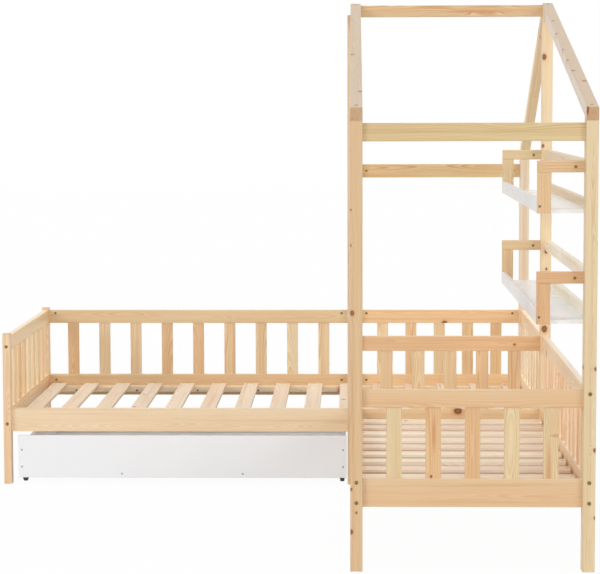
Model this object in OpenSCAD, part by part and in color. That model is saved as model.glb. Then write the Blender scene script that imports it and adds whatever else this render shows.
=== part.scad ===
// L-shaped house bed in pine: a long low bed and a short bed that meet at a corner,
// slatted fences, a house-shaped frame with two shelves over the short bed, and a
// white drawer on wheels under the long bed. +X runs along the long bed, +Y runs
// from the short bed's foot to the back, +Z is up, and the floor is Z = 0.

/* [Long bed] */
// Overall length of the long bed, along X
long_bed_l = 2080; // [1960:5:2300]
// Width of the long bed, from the corner posts' front to the back
long_bed_w = 1051; // [900:1:1300]
// Width of one bed slat of the long bed
long_slat_w = 62; // [40:1:90]
// Distance from one bed slat of the long bed to the next
long_slat_pitch = 137; // [110:1:170]
// Thickness of a bed slat of the long bed
long_slat_t = 12; // [10:1:20]

/* [Short bed] */
// Width of the short bed over its posts, along X
short_bed_w = 755; // [700:5:900]
// Length of the short bed, from the front posts to the corner posts' front
short_bed_l = 1475; // [1300:5:1900]
// Width of one bed slat of the short bed
short_slat_w = 70; // [50:1:90]
// Distance from one bed slat of the short bed to the next
short_slat_pitch = 146; // [110:1:170]
// Thickness of a bed slat of the short bed
short_slat_t = 16; // [10:1:20]

/* [Posts] */
// Width of a tall post, along X
post_w = 38; // [34:1:50]
// Depth of a tall post, along Y
post_d = 56; // [50:1:70]
// Width of the two left-hand posts that carry rails on both sides
corner_post_w = 50; // [40:1:60]
// Width of a low leg, along X
leg_w = 29; // [27:1:40]
// Depth of a low leg, along Y
leg_d = 42; // [38:1:56]
// Height of a low leg
leg_h = 576; // [570:1:620]
// Radius of the rounded long edges of posts, rails and slats
edge_r = 2; // [1:0.5:3]

/* [House frame] */
// Height of the front posts under the roof, at the front face
front_eave_z = 1392; // [1370:1:1450]
// Height of the back posts under the roof, at the back face
back_eave_z = 1195; // [1100:1:1300]
// Height of the rafters' underside at the ridge
ridge_z = 1776; // [1650:1:1900]
// Depth of a rafter, square to its length
rafter_h = 40; // [34:1:50]
// Height of an eave rail
eave_rail_h = 56; // [40:1:70]
// How far the eave rails' top lies below the post top
eave_drop = 6; // [2:1:20]
// Height of the ridge beam
ridge_beam_h = 42; // [36:1:44]
// Thickness of the ridge beam
ridge_beam_t = 38; // [30:1:44]

/* [Fences] */
// Underside of the lower rails
rail_z = 201; // [195:1:230]
// Height of the lower rails
rail_h = 89; // [80:1:100]
// Top of the fences
fence_top_z = 567; // [520:1:568]
// Height of the fences' top rails
top_rail_h = 56; // [50:1:70]
// Thickness of every rail
rail_t = 22; // [20:1:26]
// How far the rails stand back from the posts' outer faces
rail_setback = 12; // [4:1:16]
// Width of a fence slat
fence_slat_w = 47; // [35:1:60]
// Thickness of a fence slat
fence_slat_t = 16; // [10:1:18]
// Distance from one fence slat to the next
fence_slat_pitch = 121; // [100:1:150]
// Distance between the slats of the long back fence
back_slat_pitch = 134.5; // [110:0.5:150]
// Smallest gap between a post and the first fence slat
fence_end_gap = 52; // [52:1:70]
// Depth of the mortises that hold the fence slats
mortise_d = 10; // [6:1:14]

/* [Bed base] */
// Height of the upper side of the bed slats
bed_top_z = 255; // [245:1:262]
// Height of the ledgers that carry the bed slats
ledger_h = 24; // [18:1:28]
// Width of the ledgers under the bed slats
ledger_w = 40; // [30:1:50]
// How far the long bed's ledgers stop short of their rails' ends
long_ledger_inset = 2; // [1:1:20]
// How far the short bed's ledgers stop short of their rails' ends
short_ledger_inset = 46; // [44:1:60]

/* [Shelves] */
// Underside of the upper shelf
upper_shelf_z = 1108; // [1060:1:1120]
// Distance from the upper shelf down to the lower one
shelf_drop = 341; // [300:1:400]
// Distance from the back of the shelves to their front edge, along X
shelf_w = 182; // [150:1:220]
// Height of a shelf bracket
bracket_h = 162; // [120:1:180]
// Height of a bracket's top arm
arm_h = 36; // [30:1:50]
// Width of a bracket's upright
upright_w = 41; // [30:1:60]
// How far the brackets stand back from the posts' front faces
bracket_setback = 31; // [25:1:33]
// Height of the white lip along a shelf's front edge
lip_h = 44; // [30:1:60]
// Thickness of the white lip
lip_t = 14; // [12:1:18]
// Thickness of the white shelf board
shelf_t = 12; // [9:1:16]
// Height of the two rails behind each shelf
shelf_rail_h = 38; // [30:1:45]

/* [Drawer] */
// Height of the drawer's front board
drawer_front_h = 162; // [120:1:168]
// Height of the drawer's front board above the floor
drawer_front_z = 25; // [20:1:30]
// Distance from the drawer's front board to the leg on its left
drawer_side_gap = 26; // [10:1:60]
// Depth of the drawer behind its front board
drawer_d = 880; // [600:5:900]
// Height of the drawer's sides and back above the floor
drawer_side_z = 50; // [48:1:60]
// Height of the drawer's sides and back
drawer_side_h = 100; // [80:1:110]
// Thickness of the drawer's white boards
board_t = 16; // [14:1:18]
// How far the drawer's sides stand in from the ends of its front
drawer_side_inset = 6; // [0:1:30]
// Thickness of the drawer's bottom panel
drawer_bottom_t = 5; // [4:1:8]
// Height of the two bearers under the drawer's bottom panel
bearer_h = 28; // [20:1:28]
// Diameter of a drawer wheel
wheel_d = 40; // [36:1:42]
// Width of a drawer wheel
wheel_w = 17; // [12:1:20]
// Distance from the drawer's front board back to the front wheels' centres
wheel_front_y = 54; // [40:1:120]
// Diameter of a wheel's axle
axle_d = 5; // [4:0.5:7]

/* [Fasteners] */
// Diameter of the connecting bolts' shanks
bolt_d = 6; // [5:0.5:7]
// Diameter of the connecting bolts' heads
bolt_head_d = 12; // [10:0.5:13]
// Thickness of the connecting bolts' heads
bolt_head_t = 3; // [2:0.5:4]
// Distance from a rail's end to its barrel nut
nut_offset = 28; // [22:1:34]
// Diameter of a barrel nut
nut_d = 10; // [9:0.5:11]
// Length of a barrel nut
nut_l = 14; // [10:1:16]
// Diameter of the wood screws' shanks
screw_d = 4; // [3:0.5:5]

/* [Hidden] */

$fn = 48;
eps = 1;                  // how far a cutter runs past the face it cuts
pine = "burlywood";
white_board = "whitesmoke";
brass = "darkgoldenrod";
steel = "silver";

// Clearances
bolt_play = 0.5;          // round a bolt in its bore
nut_play = 0.1;           // round a barrel nut, and round the bolt inside it
screw_play = 0.1;         // round a screw in its hole
dowel_play = 0.1;         // round a dowel in its hole
mortise_play = 0.2;       // beside a fence slat in its mortise
slat_play = 1;            // beyond each end of a bed slat
groove_play = 0.2;        // beside a panel in its groove
axle_play = 0.05;         // between a wheel's bore and its axle
wheel_play = 1;           // beside a wheel in its bracket
drawer_post_gap = 3;      // between the drawer's front and the corner post

// Places along X, measured from the long bed's left end
left_x = long_bed_l - short_bed_w;                // short bed's left face
post_in_x = left_x + post_w;                      // its inner face
corner_x = post_in_x - corner_post_w;             // corner post's left face
right_x = long_bed_l - post_w;                    // right posts' inner face
bay_l = right_x - post_in_x;                      // clear width of the short bed
right_rail_x = right_x + (post_w - rail_t) / 2;
left_rail_x = left_x + (post_w - rail_t) / 2;
end_rail_x = (leg_w - rail_t) / 2;

// Places along Y, measured from the front posts' front faces
corner_y = short_bed_l;
total_d = short_bed_l + long_bed_w;
back_y = total_d - post_d;
corner_back_y = corner_y + post_d;
front_rail_y = rail_setback;
corner_rail_y = corner_y + rail_setback;
back_rail_y = total_d - rail_setback - rail_t;
leg_back_y = total_d - leg_d;
ridge_y = corner_y + post_d / 2;

// Heights
top_rail_z = fence_top_z - top_rail_h;
rail_top_z = rail_z + rail_h;
front_eave_rail_z = front_eave_z - eave_drop - eave_rail_h;
back_eave_rail_z = back_eave_z - eave_drop - eave_rail_h;
ridge_beam_z = ridge_z - 8;

// Roof: slopes, and the height of a rafter measured straight up
front_pitch = atan((ridge_z - front_eave_z) / ridge_y);
back_pitch = atan((ridge_z - back_eave_z) / (total_d - ridge_y));
front_rise = rafter_h / cos(front_pitch);
back_rise = rafter_h / cos(back_pitch);
mitre_shift = (back_rise - front_rise) / (tan(front_pitch) + tan(back_pitch));
mitre_top_z = ridge_z + front_rise + mitre_shift * tan(front_pitch);
roof_clear_z = mitre_top_z + 200;

// Screws of the roof: their length, how far they stand from the ridge, and how
// much is cleared above a head that sits in the sloping face
roof_screw_l = 68;
ridge_screw_y = 18;
ridge_beam_screw_y = 9;
roof_clear_t = 60;

// Upright screws that hold the rafters down, from where they enter the top face.
// Each place is [x, y, height of the top face, slope there].
roof_screw_ys = [
    [post_d / 2, front_eave_z + front_rise + post_d / 2 * tan(front_pitch), front_pitch],
    [ridge_y - ridge_screw_y, ridge_z + front_rise - ridge_screw_y * tan(front_pitch), front_pitch],
    [ridge_y + ridge_screw_y, ridge_z + back_rise - ridge_screw_y * tan(back_pitch), back_pitch],
    [total_d - post_d / 2, back_eave_z + back_rise + post_d / 2 * tan(back_pitch), back_pitch]
];

// Shelves
shelf_levels = [upper_shelf_z, upper_shelf_z - shelf_drop];
shelf_front_x = long_bed_l - shelf_w;
bracket_ys = [bracket_setback, corner_y + bracket_setback];
shelf_y = bracket_setback + rail_t;               // front end of the shelf board
shelf_l = bracket_ys[1] - shelf_y;
shelf_back_x = long_bed_l - rail_t;
dowel_d = 8;
dowel_l = 30;
dowel_pitch = 20;
lip_screw_l = 60;
shelf_screw_l = 50;
shelf_screw_count = 5;

// Bed base
slat_screw_l = 26;
ledger_screw_l = ledger_w + 14;
ledger_screw_pitch = 260;
slat_end_gap = 10;

// Drawer
drawer_x = leg_w + drawer_side_gap;
drawer_w = corner_x - drawer_post_gap - drawer_x;
drawer_back_y = corner_y + board_t + drawer_d;
side_xs = [drawer_x + drawer_side_inset, drawer_x + drawer_w - drawer_side_inset - board_t];
drawer_in_x = side_xs[0] + board_t;
drawer_in_w = side_xs[1] - drawer_in_x;
panel_lift = 4;                                   // panel's groove above the sides' underside
panel_z = drawer_side_z + panel_lift;
back_board_z = panel_z + drawer_bottom_t;
back_board_h = drawer_side_z + drawer_side_h - back_board_z;
groove_d = 6;
bearer_w = 20;
bearer_share = 0.316;                             // of the front's length, from either end
bearer_xs = [
    for (share = [bearer_share, 1 - bearer_share]) drawer_x + share * drawer_w - bearer_w / 2
];
drawer_screw_l = 45;
bracket_screw_l = 18;
cheek_t = 2;
cheek_w = 20;
bracket_l = 44;
bracket_screw_y = 16;
wheel_bracket_w = wheel_w + 2 * wheel_play + 2 * cheek_t;
wheel_xs = [side_xs[0] + wheel_bracket_w / 2, side_xs[1] + board_t - wheel_bracket_w / 2];
wheel_ys = [corner_y + board_t + wheel_front_y, drawer_back_y - wheel_front_y];
rivet_d = 8;
rivet_t = 1.5;
web_drop = 3;                                     // how far a wheel's web is sunk

// Bolt heights above a lower rail's underside and above a top rail's underside.
// Rails along X and Y, and rails on both sides of a post, use different heights,
// so that no bolt crosses another inside a post.
low_y_bolts = [14, rail_h - 11];
low_y_far_bolts = [29, 47];
low_x_bolts = [rail_h - 24];
top_y_bolts = [top_rail_h - 12];
top_y_far_bolts = [9];
top_x_bolts = [top_rail_h - 33];
back_top_bolts = [top_rail_h - 14];
end_low_bolts = [30];
end_top_bolts = [16];
eave_bolts = [eave_rail_h / 2];
arm_bolts = [arm_h - shelf_rail_h / 2];
bolt_reach = nut_offset + nut_d / 2 + 8;
bolt_tip_gap = 3;
bolt_socket_d = 5;
bolt_socket_t = 2;

// A rail is [corner, length, height, axis, inner side, bolt heights, grips].
// The axis is 0 along X and 1 along Y. The inner side is 1 where the barrel nuts
// go in from the face of higher X or Y, and -1 where they go in from the other.
// The grips are the thicknesses of wood that its bolts pass at its two ends.
foot_top = [
    [post_in_x, front_rail_y, top_rail_z], bay_l, top_rail_h,
    0, 1, top_x_bolts, [post_w, post_w]
];
foot_low = [
    [post_in_x, front_rail_y, rail_z], bay_l, rail_h,
    0, 1, low_x_bolts, [post_w, post_w]
];
middle_top = [
    [post_in_x, corner_rail_y, top_rail_z], bay_l, top_rail_h,
    0, 1, top_x_bolts, [corner_post_w, post_w]
];
middle_low = [
    [post_in_x, corner_rail_y, rail_z], bay_l, rail_h,
    0, 1, low_x_bolts, [0, post_w]
];
long_front = [
    [leg_w, corner_rail_y, rail_z], corner_x - leg_w, rail_h,
    0, 1, low_x_bolts, [leg_w, 0]
];
back_left_top = [
    [leg_w, back_rail_y, top_rail_z], corner_x - leg_w, top_rail_h,
    0, -1, back_top_bolts, [leg_w, 0]
];
back_left_low = [
    [leg_w, back_rail_y, rail_z], corner_x - leg_w, rail_h,
    0, -1, low_x_bolts, [leg_w, 0]
];
back_right_top = [
    [post_in_x, back_rail_y, top_rail_z], bay_l, top_rail_h,
    0, -1, back_top_bolts, [0, post_w]
];
back_right_low = [
    [post_in_x, back_rail_y, rail_z], bay_l, rail_h,
    0, -1, low_x_bolts, [0, post_w]
];
eave_front = [
    [post_in_x, front_rail_y, front_eave_rail_z], bay_l, eave_rail_h,
    0, 1, eave_bolts, [post_w, post_w]
];
eave_back = [
    [post_in_x, back_rail_y, back_eave_rail_z], bay_l, eave_rail_h,
    0, -1, eave_bolts, [corner_post_w, post_w]
];
end_top = [
    [end_rail_x, corner_y + leg_d, top_rail_z], long_bed_w - 2 * leg_d, top_rail_h,
    1, 1, end_top_bolts, [leg_d, leg_d]
];
end_low = [
    [end_rail_x, corner_y + leg_d, rail_z], long_bed_w - 2 * leg_d, rail_h,
    1, 1, end_low_bolts, [leg_d, leg_d]
];
short_side = [
    [left_rail_x, post_d, rail_z], corner_y - post_d, rail_h,
    1, 1, low_y_bolts, [post_d, post_d]
];
right_top = [
    [right_rail_x, post_d, top_rail_z], corner_y - post_d, top_rail_h,
    1, -1, top_y_bolts, [post_d, post_d]
];
right_low = [
    [right_rail_x, post_d, rail_z], corner_y - post_d, rail_h,
    1, -1, low_y_bolts, [post_d, post_d]
];
right_back_top = [
    [right_rail_x, corner_back_y, top_rail_z], back_y - corner_back_y, top_rail_h,
    1, -1, top_y_far_bolts, [post_d, post_d]
];
right_back_low = [
    [right_rail_x, corner_back_y, rail_z], back_y - corner_back_y, rail_h,
    1, -1, low_y_far_bolts, [post_d, post_d]
];

all_rails = [
    foot_top, foot_low, middle_top, middle_low, long_front, back_left_top, back_left_low,
    back_right_top, back_right_low, eave_front, eave_back, end_top, end_low, short_side,
    right_top, right_low, right_back_top, right_back_low
];

// The rails that carry the ledgers, and the height of the ledgers' upper side
long_ledger_rails = [long_front, middle_low, back_left_low, back_right_low];
short_ledger_rails = [short_side, right_low];
long_ledger_z = bed_top_z - long_slat_t;
short_ledger_z = bed_top_z - short_slat_t;

// Where the bed slats start along each bed, and how long they are
long_slat_xs = [
    for (x = spread(right_x - leg_w, long_slat_w, long_slat_pitch, slat_end_gap)) leg_w + x
];
short_slat_ys = [
    for (y = spread(corner_y - post_d, short_slat_w, short_slat_pitch, slat_end_gap)) post_d + y
];
long_slat_y = corner_back_y + slat_play;
long_slat_l = back_y - slat_play - long_slat_y;
short_slat_x = post_in_x + slat_play;
short_slat_l = right_x - slat_play - short_slat_x;

// Arm at the top of a shelf bracket, as a rail; only its right end is bolted
function bracket_arm(z, i) = [
    [shelf_front_x, bracket_ys[i], z + bracket_h - arm_h],
    right_x - shelf_front_x, arm_h, 0, -1, arm_bolts, [0, post_w]
];

// Rail behind a shelf, outside the posts' centre line, held by dowels
function shelf_rail(z) = [
    [shelf_back_x, post_d, z], corner_y - post_d, shelf_rail_h,
    1, -1, [], [0, 0]
];

// Rectangle of a by b with rounded corners, from the origin
function eased_points(a, b, r) = [
    for (c = [[a - r, b - r, 0], [r, b - r, 90], [r, r, 180], [a - r, r, 270]])
        for (turn = [0:30:90])
            [c[0] + r * cos(c[2] + turn), c[1] + r * sin(c[2] + turn)]
];

// Moves a piece measured from the left end and the front into the model's frame
module in_frame() {
    translate([-long_bed_l / 2, -total_d / 2, 0]) children();
}

// Board with its grain and its rounded edges along X
module board_x(size) {
    multmatrix([[0, 0, 1, 0], [1, 0, 0, 0], [0, 1, 0, 0]])
        linear_extrude(size[0]) polygon(eased_points(size[1], size[2], edge_r));
}

// Moves a piece drawn along X, from the rail's corner, onto the rail itself
module on_rail(rail) {
    translate(rail[0])
        if (rail[3] == 0) children();
        else multmatrix([[0, 1, 0, 0], [1, 0, 0, 0], [0, 0, 1, 0]]) children();
}

// Moves a piece to one end of a rail, with X running from that end into the rail
module at_rail_end(rail, end) {
    on_rail(rail)
        if (end == 0) children();
        else translate([rail[1], 0, 0]) mirror([1, 0, 0]) children();
}

module cylinder_x(d, l) {
    rotate([0, 90, 0]) cylinder(d = d, h = l);
}

module cylinder_y(d, l) {
    rotate([-90, 0, 0]) cylinder(d = d, h = l);
}

// Bores for the bolts and the barrel nuts at one end of a rail
module rail_end_bores(rail, end) {
    at_rail_end(rail, end)
        for (z = rail[5]) {
            translate([-eps, rail_t / 2, z])
                cylinder_x(bolt_d + 2 * bolt_play, bolt_reach + bolt_tip_gap + eps);
            translate([nut_offset, rail[4] > 0 ? (rail_t - nut_l) / 2 : -eps, z])
                cylinder_y(nut_d + 2 * nut_play, (rail_t + nut_l) / 2 + eps);
        }
}

// Bores through a post for the bolts of one rail end, with the heads' counterbores
module post_bores(rail, end) {
    grip = rail[6][end];
    at_rail_end(rail, end)
        for (z = rail[5]) {
            translate([-max(grip, corner_post_w) - eps, rail_t / 2, z])
                cylinder_x(bolt_d + 2 * bolt_play, max(grip, corner_post_w) + 2 * eps);
            if (grip > 0)
                translate([-grip - eps, rail_t / 2, z])
                    cylinder_x(bolt_head_d + 2 * bolt_play, bolt_head_t + eps);
        }
}

// Connecting bolt from its head's outer face, along X, with a hexagon socket
module bolt(l) {
    difference() {
        cylinder_x(bolt_head_d, bolt_head_t);
        translate([-eps, 0, 0])
            rotate([0, 90, 0]) cylinder(d = bolt_socket_d, h = bolt_socket_t + eps, $fn = 6);
    }
    translate([bolt_head_t, 0, 0]) cylinder_x(bolt_d, l - bolt_head_t);
}

// The bolts of one rail end; a stud between two rails has no head and is drawn apart
module rail_bolts(rail, end) {
    grip = rail[6][end];
    if (grip > 0)
        at_rail_end(rail, end)
            for (z = rail[5])
                translate([-grip, rail_t / 2, z]) bolt(grip + bolt_reach);
}

// Stud through a corner post, from the barrel nuts of one rail to those of the next
module rail_studs(rail) {
    at_rail_end(rail, 0)
        for (z = rail[5])
            translate([-corner_post_w - bolt_reach, rail_t / 2, z])
                cylinder_x(bolt_d, corner_post_w + 2 * bolt_reach);
}

// Barrel nuts of one rail end, each with the bore for its bolt
module rail_nuts(rail, end) {
    at_rail_end(rail, end)
        for (z = rail[5])
            translate([nut_offset, (rail_t - nut_l) / 2, z])
                difference() {
                    cylinder_y(nut_d, nut_l);
                    translate([-nut_d, nut_l / 2, 0]) cylinder_x(bolt_d + 2 * nut_play, 2 * nut_d);
                }
}

// Where equal pieces start along a span, as many as fit, in the middle of the span
function spread(span, w, pitch, end_gap) =
    let (count = floor((span - w - 2 * end_gap) / pitch) + 1)
    let (first = (span - (count - 1) * pitch - w) / 2)
    [for (i = [0:count - 1]) first + i * pitch];

function fence_starts(rail, pitch) = spread(rail[1], fence_slat_w, pitch, fence_end_gap);

// Rail with its end bores and what its children cut. slats gives the starts of the
// slats that its mortises hold, in the upper edge of a lower rail and in the lower
// edge of a top rail.
module rail(rail, slats = [], top = false, ends = [0, 1]) {
    difference() {
        on_rail(rail) board_x([rail[1], rail_t, rail[2]]);
        for (end = ends) rail_end_bores(rail, end);
        children();
        on_rail(rail)
            for (x = slats)
                translate([
                    x - mortise_play,
                    (rail_t - fence_slat_t) / 2 - mortise_play,
                    top ? -eps : rail[2] - mortise_d
                ])
                    cube([
                        fence_slat_w + 2 * mortise_play,
                        fence_slat_t + 2 * mortise_play,
                        mortise_d + eps
                    ]);
    }
}

// The upright slats between a lower rail and the top rail above it
module fence_slats(low, slats) {
    color(pine) in_frame() on_rail(low)
        for (x = slats)
            translate([x, (rail_t - fence_slat_t) / 2, low[2] - mortise_d])
                linear_extrude(top_rail_z - rail_top_z + 2 * mortise_d)
                    polygon(eased_points(fence_slat_w, fence_slat_t, edge_r));
}

// The lower rail and the top rail of one fence; the children are cut from the lower
module fence_rails(low, top, slats) {
    color(pine) in_frame() {
        rail(low, slats) children();
        rail(top, slats, true);
    }
}

// Outline in Y and Z, extruded along X from the place x
module side_profile(x, w) {
    multmatrix([[0, 0, 1, x], [1, 0, 0, 0], [0, 1, 0, 0]]) linear_extrude(w) children();
}

// Everything above the underside of the rafters
module above_roof_line() {
    side_profile(left_x - post_w, short_bed_w + 2 * post_w)
        polygon([
            [-eps, front_eave_z - eps * tan(front_pitch)],
            [ridge_y, ridge_z],
            [total_d + eps, back_eave_z - eps * tan(back_pitch)],
            [total_d + eps, roof_clear_z],
            [-eps, roof_clear_z]
        ]);
}

// Tall post, bored for the rail ends in joints and cut to the roof's slope
module tall_post(x, y, w, joints) {
    color(pine) in_frame() difference() {
        translate([x, y, 0])
            linear_extrude(ridge_z + eps) polygon(eased_points(w, post_d, edge_r));
        for (joint = joints) post_bores(joint[0], joint[1]);
        above_roof_line();
        roof_screw_places() roof_screw_bore();
        children();
    }
}

module post_front_left() {
    tall_post(left_x, 0, post_w, [[foot_low, 0], [foot_top, 0], [eave_front, 0], [short_side, 0]]);
}

module post_front_right() {
    tall_post(right_x, 0, post_w, concat(
        [[foot_low, 1], [foot_top, 1], [eave_front, 1], [right_low, 0], [right_top, 0]],
        [for (z = shelf_levels) [bracket_arm(z, 0), 1]]
    ))
        shelf_rail_dowels(0, dowel_play);
}

module post_corner_left() {
    tall_post(corner_x, corner_y, corner_post_w, [[middle_low, 0], [middle_top, 0], [short_side, 1]]);
}

module post_corner_right() {
    tall_post(right_x, corner_y, post_w, concat(
        [[middle_low, 1], [middle_top, 1], [right_low, 1], [right_top, 1]],
        [[right_back_low, 0], [right_back_top, 0]],
        [for (z = shelf_levels) [bracket_arm(z, 1), 1]]
    ))
        shelf_rail_dowels(1, dowel_play);
}

module post_back_left() {
    tall_post(corner_x, back_y, corner_post_w, [
        [back_right_low, 0], [back_right_top, 0], [eave_back, 0]
    ]);
}

module post_back_right() {
    tall_post(right_x, back_y, post_w, [
        [back_right_low, 1], [back_right_top, 1], [eave_back, 1],
        [right_back_low, 1], [right_back_top, 1]
    ]);
}

// Low leg at a left-hand corner of the long bed
module low_leg(y, joints) {
    color(pine) in_frame() difference() {
        translate([0, y, 0]) linear_extrude(leg_h) polygon(eased_points(leg_w, leg_d, edge_r));
        for (joint = joints) post_bores(joint[0], joint[1]);
    }
}

module leg_front() {
    low_leg(corner_y, [[long_front, 0], [end_low, 0], [end_top, 0]]);
}

module leg_back() {
    low_leg(leg_back_y, [[back_left_low, 0], [back_left_top, 0], [end_low, 1], [end_top, 1]]);
}

// Places of the upright roof screws, with the edge of each head level with the slope
module roof_screw_places() {
    for (x = [left_x + post_w / 2, right_x + post_w / 2], s = roof_screw_ys)
        translate([x, s[0], s[1] - (bolt_head_d / 2 + bolt_play) * tan(s[2])])
            rotate([0, 90, 0]) children();
}

module roof_screw_bore() {
    cylinder_x(bolt_d + 2 * bolt_play, roof_screw_l + bolt_tip_gap);
    translate([-roof_clear_t, 0, 0]) cylinder_x(bolt_head_d + 2 * bolt_play, roof_clear_t + bolt_head_t);
}

// Screws through the rafters into the ends of the ridge beam
module ridge_screw_places(end) {
    for (side = [-1, 1])
        translate([
            end == 0 ? left_x : long_bed_l,
            ridge_y + side * ridge_beam_screw_y,
            ridge_beam_z + ridge_beam_h / 2
        ])
            mirror([end, 0, 0]) children();
}

module ridge_screw_bore() {
    translate([-eps, 0, 0]) cylinder_x(bolt_head_d + 2 * bolt_play, bolt_head_t + eps);
    cylinder_x(bolt_d + 2 * bolt_play, post_w + bolt_reach + bolt_tip_gap);
}

// Region of the front or the back slope, up to the mitre at the ridge
module slope_region(x, outer_y) {
    mitre_end_y = ridge_y + mitre_shift * (roof_clear_z - ridge_z) / (mitre_top_z - ridge_z);
    side_profile(x - eps, post_w + 2 * eps)
        polygon([
            [outer_y, 0], [ridge_y, 0], [ridge_y, ridge_z],
            [mitre_end_y, roof_clear_z], [outer_y, roof_clear_z]
        ]);
}

// Stick with rounded edges along Y, long enough for either slope
module rafter_stick(l) {
    multmatrix([[1, 0, 0, 0], [0, 0, 1, 0], [0, 1, 0, 0]])
        linear_extrude(l) polygon(eased_points(post_w, rafter_h, edge_r));
}

module rafter(x, outer_y, eave_z, pitch) {
    run = abs(ridge_y - outer_y) / cos(pitch) + 2 * rafter_h;
    front = outer_y < ridge_y;
    color(pine) in_frame() difference() {
        intersection() {
            translate([x, outer_y, eave_z])
                rotate([front ? pitch : -pitch, 0, 0])
                    translate([0, front ? -rafter_h : -run, 0]) rafter_stick(run + rafter_h);
            slope_region(x, outer_y);
        }
        roof_screw_places() roof_screw_bore();
        for (end = [0, 1]) ridge_screw_places(end) ridge_screw_bore();
    }
}

module rafter_front_left() {
    rafter(left_x, 0, front_eave_z, front_pitch);
}

module rafter_front_right() {
    rafter(right_x, 0, front_eave_z, front_pitch);
}

module rafter_back_left() {
    rafter(left_x, total_d, back_eave_z, back_pitch);
}

module rafter_back_right() {
    rafter(right_x, total_d, back_eave_z, back_pitch);
}

module ridge_beam() {
    color(pine) in_frame() difference() {
        translate([post_in_x, ridge_y - ridge_beam_t / 2, ridge_beam_z])
            board_x([bay_l, ridge_beam_t, ridge_beam_h]);
        for (end = [0, 1]) ridge_screw_places(end) ridge_screw_bore();
    }
}

module roof_screws() {
    color(brass) in_frame() {
        roof_screw_places() bolt(roof_screw_l);
        for (end = [0, 1]) ridge_screw_places(end) bolt(post_w + bolt_reach);
    }
}

module eave_rail_front() {
    color(pine) in_frame() rail(eave_front);
}

module eave_rail_back() {
    color(pine) in_frame() rail(eave_back);
}

module foot_fence_rails() {
    fence_rails(foot_low, foot_top, fence_starts(foot_low, fence_slat_pitch));
}

module foot_fence_slats() {
    fence_slats(foot_low, fence_starts(foot_low, fence_slat_pitch));
}

module middle_fence_rails() {
    fence_rails(middle_low, middle_top, fence_starts(middle_low, fence_slat_pitch))
        long_ledger_holes(middle_low);
}

module middle_fence_slats() {
    fence_slats(middle_low, fence_starts(middle_low, fence_slat_pitch));
}

module back_left_fence_rails() {
    fence_rails(back_left_low, back_left_top, fence_starts(back_left_low, back_slat_pitch))
        long_ledger_holes(back_left_low);
}

module back_left_fence_slats() {
    fence_slats(back_left_low, fence_starts(back_left_low, back_slat_pitch));
}

module back_right_fence_rails() {
    fence_rails(back_right_low, back_right_top, fence_starts(back_right_low, fence_slat_pitch))
        long_ledger_holes(back_right_low);
}

module back_right_fence_slats() {
    fence_slats(back_right_low, fence_starts(back_right_low, fence_slat_pitch));
}

module left_fence_rails() {
    fence_rails(end_low, end_top, fence_starts(end_low, fence_slat_pitch));
}

module left_fence_slats() {
    fence_slats(end_low, fence_starts(end_low, fence_slat_pitch));
}

module right_fence_rails() {
    fence_rails(right_low, right_top, fence_starts(right_low, fence_slat_pitch))
        short_ledger_holes(right_low);
}

module right_fence_slats() {
    fence_slats(right_low, fence_starts(right_low, fence_slat_pitch));
}

module right_back_fence_rails() {
    fence_rails(right_back_low, right_back_top, fence_starts(right_back_low, fence_slat_pitch));
}

module right_back_fence_slats() {
    fence_slats(right_back_low, fence_starts(right_back_low, fence_slat_pitch));
}

module long_bed_rail() {
    color(pine) in_frame() rail(long_front) long_ledger_holes(long_front);
}

module short_bed_rail() {
    color(pine) in_frame() rail(short_side) short_ledger_holes(short_side);
}

// Wood screw along X from its head's outer face, with a countersunk head
module wood_screw(l) {
    rotate([0, 90, 0])
        rotate_extrude()
            polygon([
                [0, 0], [screw_d, 0], [screw_d, 0.5], [screw_d / 2, screw_d / 2 + 0.5],
                [screw_d / 2, l - screw_d], [0, l]
            ]);
}

module screw_hole(l) {
    translate([-eps, 0, 0]) cylinder_x(screw_d + 2 * screw_play, l + eps + screw_play);
    translate([-eps, 0, 0]) cylinder_x(2 * screw_d + 2 * screw_play, eps + 0.5);
    translate([0.5, 0, 0])
        rotate([0, 90, 0])
            cylinder(d1 = 2 * screw_d + 2 * screw_play, d2 = screw_d + 2 * screw_play, h = screw_d / 2);
}

// Moves a piece drawn from a ledger's lower corner, with Y running away from the rail
module on_ledger(rail, inset, top_z) {
    on_rail(rail)
        translate([inset, rail[4] > 0 ? rail_t : 0, top_z - ledger_h - rail_z])
            mirror([0, rail[4] > 0 ? 0 : 1, 0]) children();
}

function ledger_l(rail, inset) = rail[1] - 2 * inset;

// Screws from a ledger's inner face into its rail
module ledger_screw_places(rail, inset, top_z) {
    on_ledger(rail, inset, top_z)
        for (x = spread(ledger_l(rail, inset), screw_d, ledger_screw_pitch, 2 * ledger_h))
            translate([x, ledger_w, ledger_h / 4]) rotate([0, 0, -90]) children();
}

module long_ledger_holes(rail) {
    ledger_screw_places(rail, long_ledger_inset, long_ledger_z) screw_hole(ledger_screw_l);
}

module short_ledger_holes(rail) {
    ledger_screw_places(rail, short_ledger_inset, short_ledger_z) screw_hole(ledger_screw_l);
}

// Screws that hold the slats, one at each end, down from the slats' upper side
module long_slat_screw_places() {
    for (x = long_slat_xs, y = [long_slat_y + 2 * screw_d, long_slat_y + long_slat_l - 2 * screw_d])
        translate([slat_screw_x(x), y, bed_top_z]) rotate([0, 90, 0]) children();
}

// Screw's place on a slat: in the middle, but beside the corner post, where the
// ledger is broken, in the part of the slat that the ledger still carries
function slat_screw_x(x) =
    let (middle = x + long_slat_w / 2)
    let (post_middle = corner_x + corner_post_w / 2)
    abs(middle - post_middle) > corner_post_w / 2 + 3 * screw_d ? middle
        : middle < post_middle ? x + 2 * screw_d
        : x + long_slat_w - 2 * screw_d;

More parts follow.
